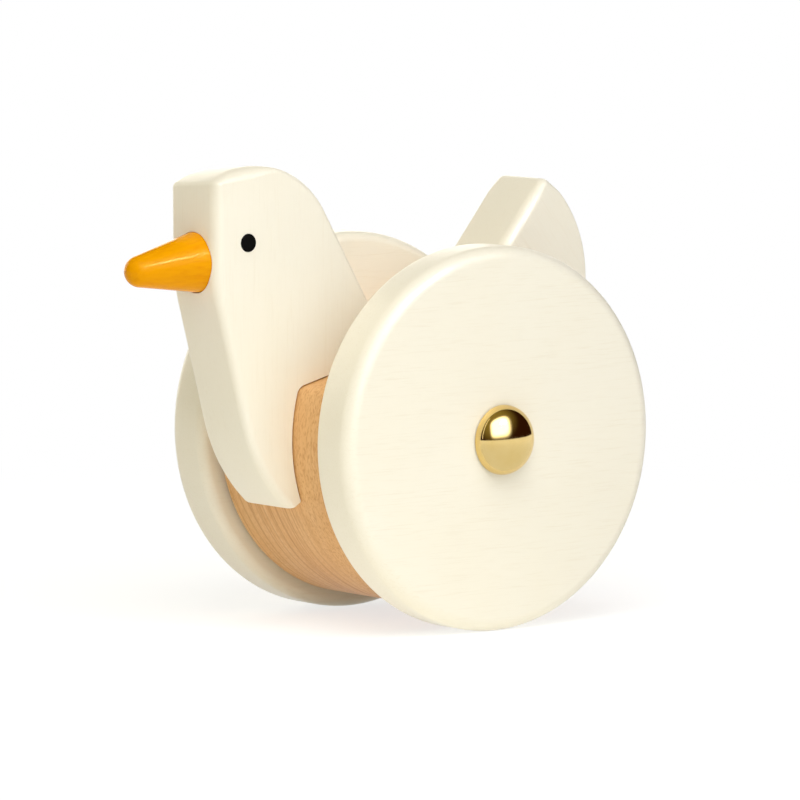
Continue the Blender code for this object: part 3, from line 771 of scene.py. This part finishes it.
def orange_paint(name):
    """Glossy orange paint, with faint lengthwise strokes."""
    material, tree, surface = new_material(name)
    strokes = noise(tree, place_of(tree, scale=STROKE_SCALE))
    cloud = noise(tree, place_of(tree, scale=ORANGE_CLOUD_SCALE))
    factor = multiply(tree, remap(tree, strokes, STROKE_SPAN, (0.0, STROKE_SHARE)),
                      remap(tree, cloud, NOISE_SPAN, STROKE_IN_CLOUDS))
    tree.links.new(blend_colours(tree, factor, ORANGE, ORANGE_DEEP), surface.inputs["Base Color"])
    tree.links.new(remap(tree, cloud, NOISE_SPAN, ORANGE_ROUGHNESS), surface.inputs["Roughness"])
    bump(tree, surface, strokes, STROKE_DEPTH, STROKE_RELIEF)
    surface.inputs["Specular IOR Level"].default_value = ORANGE_SPECULAR
    surface.inputs["Specular Tint"].default_value = (*ORANGE_SHEEN, 1)
    surface.inputs["IOR"].default_value = ORANGE_IOR
    return material


# Black paint
BLACK = (0.001, 0.001, 0.001)
BLACK_PALE = (0.004, 0.0035, 0.003)
BLACK_ROUGHNESS = (0.35, 0.5)
BLACK_SPECULAR = 0.04
STIPPLE_SCALE = (2500.0, 2500.0, 2500.0)
STIPPLE_DEPTH = 0.01 * MM
STIPPLE_RELIEF = 0.3


def black_paint(name):
    """Satin black paint with a faint stipple."""
    material, tree, surface = new_material(name)
    stipple = noise(tree, place_of(tree, scale=STIPPLE_SCALE))
    tree.links.new(blend_colours(tree, stipple, BLACK, BLACK_PALE), surface.inputs["Base Color"])
    tree.links.new(remap(tree, stipple, NOISE_SPAN, BLACK_ROUGHNESS), surface.inputs["Roughness"])
    bump(tree, surface, stipple, STIPPLE_DEPTH, STIPPLE_RELIEF)
    surface.inputs["Specular IOR Level"].default_value = BLACK_SPECULAR
    return material


# Metals
BRASS_PALE = (0.850, 0.655, 0.295)
BRASS_DEEP = (0.790, 0.570, 0.205)
BRASS_ROUGHNESS = (0.06, 0.12)
STEEL_PALE = (0.62, 0.62, 0.64)
STEEL_DEEP = (0.52, 0.52, 0.54)
STEEL_ROUGHNESS = (0.24, 0.34)
HAIR_SCALE = (5200.0, 5200.0, 500.0)
HAIR_SPAN = (0.3, 0.75)
TONE_SCALE = (260.0, 260.0, 260.0)


def metal(name, pale, deep, roughness):
    """Bright metal with hairline marks and slightly uneven tone."""
    material, tree, surface = new_material(name)
    hair = noise(tree, place_of(tree, scale=HAIR_SCALE), detail=3.0)
    tone = noise(tree, place_of(tree, scale=TONE_SCALE))
    tree.links.new(blend_colours(tree, tone, pale, deep), surface.inputs["Base Color"])
    tree.links.new(remap(tree, hair, HAIR_SPAN, roughness), surface.inputs["Roughness"])
    surface.inputs["Metallic"].default_value = 1.0
    return material


def dress(item, material, slot, body, *nodes):
    """Give a new piece its material and body, and hide the nodes that it stands for. slot is not used."""
    item.data.materials.clear()
    item.data.materials.append(material)
    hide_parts(*nodes)
    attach(item, body)


def paint_nodes(material, *nodes):
    """Give carried-over nodes a material."""
    for name in nodes:
        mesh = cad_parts[name].data
        mesh.materials.clear()
        mesh.materials.append(material)


def build_toy():
    """All pieces that show, and the materials of those inside."""
    plank_paint = cream_paint("cream_plank", GRAIN_UP, PLANK_GRAIN)
    tail_paint = cream_paint("cream_tail", GRAIN_ALONG_TAIL, PLANK_GRAIN)
    wheel_paint = cream_paint("cream_wheel", GRAIN_ACROSS_WHEEL, WHEEL_GRAIN)
    black = black_paint("black_satin")
    brass = metal("polished_brass", BRASS_PALE, BRASS_DEEP, BRASS_ROUGHNESS)
    steel = metal("bright_steel", STEEL_PALE, STEEL_DEEP, STEEL_ROUGHNESS)
    dress(make_drum(), beech("oiled_beech"), "beech", "bird", "body_drum")
    dress(make_head(), plank_paint, "cream_paint", "bird", "head_neck")
    dress(make_tail(), tail_paint, "cream_paint", "bird", "tail")
    dress(make_beak(), orange_paint("orange_gloss"), "orange_paint", "bird", "beak")
    for side, sign, facing in SIDES:
        dress(make_wheel(side, facing), wheel_paint, "cream_paint", side + "_wheel", side + "_wheel")
        dress(make_eye(side, sign, facing), black, "black_paint", "bird", side + "_eye")
        dress(make_cap(side, facing), brass, "brass", "bird", side + "_axle_cap")
        paint_nodes(steel, side + "_push_nut", side + "_washer")
    paint_nodes(steel, "axle", "weight")
    paint_nodes(beech("dowel_beech"), "neck_dowel_front", "neck_dowel_rear", "tail_dowel", "weight_plug")


# Camera
CAMERA_AZIMUTH = 52.63  # degrees from straight ahead of the bird, to its left
CAMERA_ELEVATION = 5.906
CAMERA_DISTANCE = 1585.5 * MM
CAMERA_AIM = Vector((1.54, -1.98, 6.41)) * MM  # from the axle's middle
CAMERA_LENS = 301.74
SENSOR_WIDTH = 36.0

# Floor, in metres
FLOOR_SIZE = 30.0
FLOOR_BOUNCE = (0.84, 0.83, 0.80)
FLOOR_SEEN = (1.45, 1.45, 1.45)  # so that the lit floor is white where the toy leaves no shadow
SHADOW_SPAN = (0.16, 0.34)  # from the toy's middle, where the shadow starts to go and is gone
SHADOW_LOST = (0.70, 1.0)  # how much of it is lost close to the toy and far from it
MIRRORED_SPAN = (0.0, 0.50)
MIRRORED_FLOOR = (0.84, 1.02)  # how bright the floor shows in mirrors, near and far
GLOW = (1.0, 0.99, 0.86)  # light off the floor in front of the toy
GLOW_PLACE = (0.09, 0.13, 0)
GLOW_SPAN = (0.02, 0.25)  # from its place, where it starts to fade and is gone
GLOW_STRENGTH = (0.60, 0.0)

# Light
WHITE = (1, 1, 1)
AMBIENT = (1.0, 0.98, 0.94)
AMBIENT_STRENGTH = 0.10
LAMP_DISTANCE = 0.75
# Azimuth and elevation in degrees, size, power, colour, and whether it shows in mirrors
LAMPS = {
    "key": (84, 38, (1.20, 0.84), 3.56, (0.98, 0.985, 1.0), False),
    "strip": (12, 35, (0.05, 0.90), 0.15, (1.0, 1.0, 1.0), True),
    "warm": (-15, 48, (0.50, 0.50), 0.82, (1.0, 0.88, 0.40), False),
    "high": (60, 58, (0.50, 0.50), 2.45, (1.0, 1.0, 0.97), False),
    "rear": (256, 15, (1.30, 0.40), 3.6, (1.0, 0.96, 0.88), True),
}
# The key's face and its bright core, as the toy mirrors them: azimuth, elevation, size, strength
LAMP_FACES = {
    "key_face": (82, 33, (1.17, 1.09), 3.8),
    "key_core": (96, 39.5, (0.27, 0.08), 150.0),
}
LAMP_FACE_SPAN = (0.45, 1.0)  # from a face's middle, where it starts to dim and where it ends
LAMP_FACE_CORNERS = 4.0  # 2 is an oval, and more is squarer

# The dim studio, as the toy mirrors it
WALL_RADIUS = 12.0
WALL_SEGMENTS = (48, 24)
WALL_DARK = (0.028, 0.008, 0.002)
WALL_LIGHT = (0.280, 0.225, 0.065)
WALL_LIT_SPAN = (0.35, 1.0)
WALL_AZIMUTH = 62
WALL_ELEVATION = 55


def direction(azimuth, elevation):
    """A unit step from the toy, with azimuth in degrees from straight ahead to its left."""
    around, up = math.radians(azimuth), math.radians(elevation)
    flat = math.cos(up)
    return Vector((flat * math.cos(around), flat * math.sin(around), math.sin(up)))


def place_facing(item, azimuth, elevation):
    """Put a lamp or its face round the toy, facing it."""
    towards = direction(azimuth, elevation)
    item.location = AXLE + towards * LAMP_DISTANCE
    item.rotation_euler = towards.to_track_quat("Z", "Y").to_euler()


def area_light(name, azimuth, elevation, size, power, colour, mirrored):
    """A soft box that faces the toy."""
    lamp = bpy.data.lights.new(name, "AREA")
    lamp.shape = "RECTANGLE"
    lamp.size, lamp.size_y = size
    lamp.energy = power
    lamp.color = colour
    item = bpy.data.objects.new(name, lamp)
    bpy.context.collection.objects.link(item)
    place_facing(item, azimuth, elevation)
    item.visible_camera = False
    item.visible_glossy = mirrored


def mirrored_only(item):
    """Let an item show in mirrors and nowhere else."""
    item.visible_camera = False
    item.visible_diffuse = False
    item.visible_shadow = False
    item.visible_transmission = False


def glowing(name):
    """An empty material, for a glow."""
    material = bpy.data.materials.new(name)
    material.use_nodes = True
    material.node_tree.nodes.clear()
    return material, material.node_tree


def emission(tree, colour, strength):
    """A glow."""
    return add_node(tree, "ShaderNodeEmission", {"Color": colour, "Strength": strength}).outputs[0]


def diffuse(tree, colour):
    """A dull surface."""
    return add_node(tree, "ShaderNodeBsdfDiffuse", {"Color": (*colour, 1)}).outputs[0]


def mixed(tree, factor, first, second):
    """One shader where factor is 0, the other where it is 1."""
    return add_node(tree, "ShaderNodeMixShader", {0: factor, 1: first, 2: second}).outputs[0]


def power_of(tree, value, exponent):
    """A value's size raised to a power."""
    return calculate(tree, "POWER", calculate(tree, "ABSOLUTE", value), exponent)


def make_face(name, azimuth, elevation, size, strength):
    """A lamp's face as it mirrors in the toy: rounded, and soft at its edge."""
    bm = bmesh.new()
    bmesh.ops.create_grid(bm, x_segments=1, y_segments=1, size=1)
    face = add_piece(name, bm)
    place_facing(face, azimuth, elevation)
    face.scale = (size[0] / 2, size[1] / 2, 1)
    material, tree = glowing(name)
    axes = add_node(tree, "ShaderNodeSeparateXYZ", {0: object_place(tree)}).outputs
    out = [power_of(tree, axes[axis], LAMP_FACE_CORNERS) for axis in ("X", "Y")]
    away = power_of(tree, calculate(tree, "ADD", *out), 1 / LAMP_FACE_CORNERS)
    inside = remap(tree, away, LAMP_FACE_SPAN, (1.0, 0.0), True)
    glow = emission(tree, (*WHITE, 1), multiply(tree, inside, strength))
    clear = add_node(tree, "ShaderNodeBsdfTransparent").outputs[0]
    add_node(tree, "ShaderNodeOutputMaterial", {"Surface": mixed(tree, inside, clear, glow)})
    face.data.materials.append(material)
    mirrored_only(face)


def make_floor():
    """A pale floor that looks white, apart from the toy's shadow."""
    bm = bmesh.new()
    bmesh.ops.create_grid(bm, x_segments=1, y_segments=1, size=FLOOR_SIZE / 2)
    floor = add_piece("floor", bm, (0, 0, 0))
    material, tree = glowing("pale_floor")
    rays = add_node(tree, "ShaderNodeLightPath").outputs
    place = object_place(tree)
    away = measure(tree, "LENGTH", place)
    from_glow = measure(tree, "DISTANCE", place, GLOW_PLACE)
    near_glow = remap(tree, from_glow, GLOW_SPAN, GLOW_STRENGTH, True)
    lift = emission(tree, (*GLOW, 1), multiply(tree, near_glow, rays["Is Diffuse Ray"]))
    bounce = add_node(tree, "ShaderNodeAddShader", {0: diffuse(tree, FLOOR_BOUNCE), 1: lift}).outputs[0]
    white = emission(tree, (*WHITE, 1), 1.0)
    seen = mixed(tree, remap(tree, away, SHADOW_SPAN, SHADOW_LOST, True), diffuse(tree, FLOOR_SEEN), white)
    mirrored = emission(tree, (*WHITE, 1), remap(tree, away, MIRRORED_SPAN, MIRRORED_FLOOR, True))
    other = mixed(tree, rays["Is Glossy Ray"], bounce, mirrored)
    both = mixed(tree, rays["Is Camera Ray"], other, seen)
    add_node(tree, "ShaderNodeOutputMaterial", {"Surface": both})
    floor.data.materials.append(material)


def make_wall():
    """The dim studio around, lighter beside the key, which only shows in mirrors."""
    bm = bmesh.new()
    around, up = WALL_SEGMENTS
    bmesh.ops.create_uvsphere(bm, u_segments=around, v_segments=up, radius=WALL_RADIUS)
    wall = add_piece("studio_wall", bm, (0, 0, 0))
    material, tree = glowing("dim_wall")
    lit = direction(WALL_AZIMUTH, WALL_ELEVATION) / WALL_RADIUS
    towards = measure(tree, "DOT_PRODUCT", object_place(tree), lit)
    colour = blend_colours(tree, remap(tree, towards, WALL_LIT_SPAN, (0.0, 1.0), True), WALL_DARK, WALL_LIGHT)
    add_node(tree, "ShaderNodeOutputMaterial", {"Surface": emission(tree, colour, 1.0)})
    wall.data.materials.append(material)
    mirrored_only(wall)


def background(tree, colour, strength):
    """Even light from all around."""
    return add_node(tree, "ShaderNodeBackground", {"Color": (*colour, 1), "Strength": strength}).outputs[0]


def make_world():
    """White where it is seen, and a soft even light."""
    world = bpy.data.worlds.new("studio")
    world.use_nodes = True
    tree = world.node_tree
    tree.nodes.clear()
    rays = add_node(tree, "ShaderNodeLightPath").outputs
    shown = rays["Is Camera Ray"]
    for ray in ("Is Glossy Ray", "Is Transmission Ray"):
        shown = calculate(tree, "MAXIMUM", shown, rays[ray])
    both = mixed(tree, shown, background(tree, AMBIENT, AMBIENT_STRENGTH), background(tree, WHITE, 1.0))
    add_node(tree, "ShaderNodeOutputWorld", {"Surface": both})
    bpy.context.scene.world = world


def make_camera():
    """The photographed view."""
    data = bpy.data.cameras.new("camera")
    data.lens = CAMERA_LENS
    data.sensor_width = SENSOR_WIDTH
    camera = bpy.data.objects.new("camera", data)
    bpy.context.collection.objects.link(camera)
    camera.location = AXLE + direction(CAMERA_AZIMUTH, CAMERA_ELEVATION) * CAMERA_DISTANCE
    camera.rotation_euler = (AXLE + CAMERA_AIM - camera.location).to_track_quat("-Z", "Y").to_euler()
    bpy.context.scene.camera = camera


def build_stage():
    """Floor, light and camera."""
    make_floor()
    make_wall()
    make_world()
    for name, face in LAMP_FACES.items():
        make_face(name, *face)
    for name, lamp in LAMPS.items():
        area_light(name, *lamp)
    make_camera()
    bpy.context.scene.view_settings.view_transform = "Standard"


build_toy()
build_stage()
